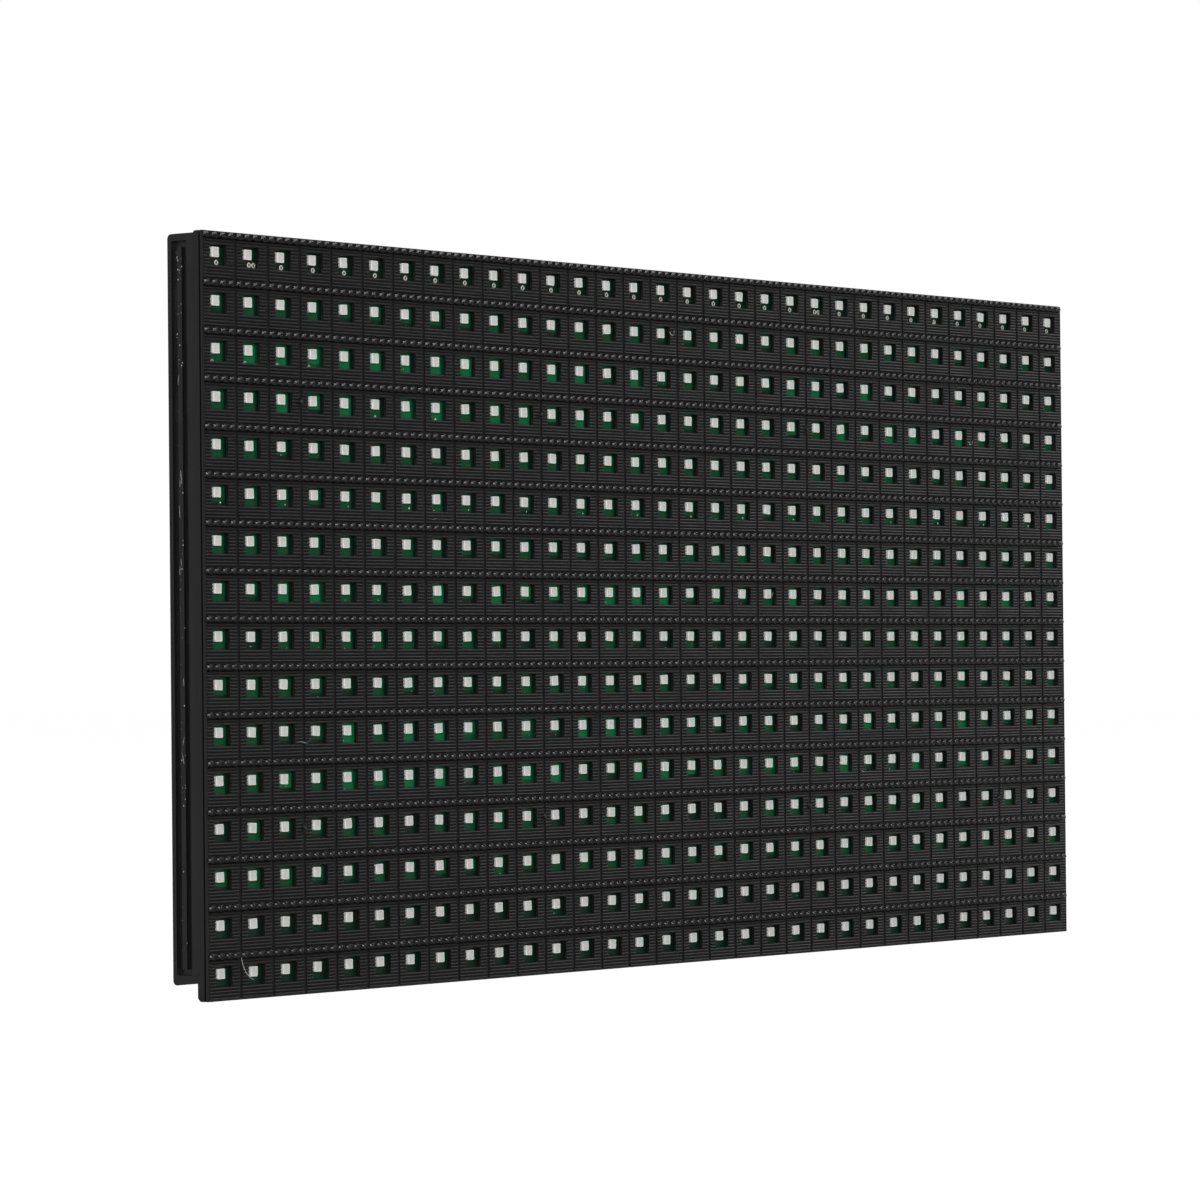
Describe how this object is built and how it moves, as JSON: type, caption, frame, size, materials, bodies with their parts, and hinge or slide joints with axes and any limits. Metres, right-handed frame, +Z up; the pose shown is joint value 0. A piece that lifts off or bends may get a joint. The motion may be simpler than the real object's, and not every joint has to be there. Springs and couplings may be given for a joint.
{
  "type": "led dot matrix display module",
  "caption": "Flat LED dot matrix display panel: black ribbed mask with square windows over white lamps, green board and open black rear shell.",
  "frame": {"origin": "centre of the rear fixing bosses' pattern, on the plane of their end faces", "axes": "+X along the long side, to the right seen from the front; +Y from the lamps to the rear; +Z up"},
  "size_m": [0.32, 0.0154, 0.16],
  "materials": {
    "mask_plastic": "fine matt moulded black polycarbonate",
    "shell_plastic": "satin moulded black polycarbonate",
    "board": "green solder mask on glass-epoxy",
    "lamp": "frosted white resin lamp",
    "brass": "turned, knurled brass",
    "screw_steel": "zinc-plated steel",
    "chip_epoxy": "moulded epoxy package with tinned leads",
    "thick_film": "thick-film chip resistor with tinned ends",
    "ceramic": "fired ceramic chip capacitor with tinned ends",
    "can_aluminium": "drawn aluminium can",
    "base_plastic": "moulded black base",
    "header_plastic": "moulded black glass-filled polyester",
    "gold_pins": "gold-flashed square pins",
    "nylon": "natural white nylon",
    "tin_pins": "tinned square pins"
  },
  "bodies": {
    "root": {"mask": "mask_plastic", "circuit_board": "board", "lamps": "lamp", "back_shell": "shell_plastic", "threaded_inserts": "brass", "mask_screws": "screw_steel", "driver_chips": "chip_epoxy", "buffer_chips": "chip_epoxy", "decoder_chip": "chip_epoxy", "row_switch_chips": "chip_epoxy", "resistor_networks": "thick_film", "chip_resistors": "thick_film", "ceramic_capacitors": "ceramic", "capacitor_cans": "can_aluminium", "capacitor_bases": "base_plastic", "input_header": "header_plastic", "input_header_pins": "gold_pins", "output_header": "header_plastic", "output_header_pins": "gold_pins", "power_header": "nylon", "power_header_pins": "tin_pins"}
  },
  "joints": []
}
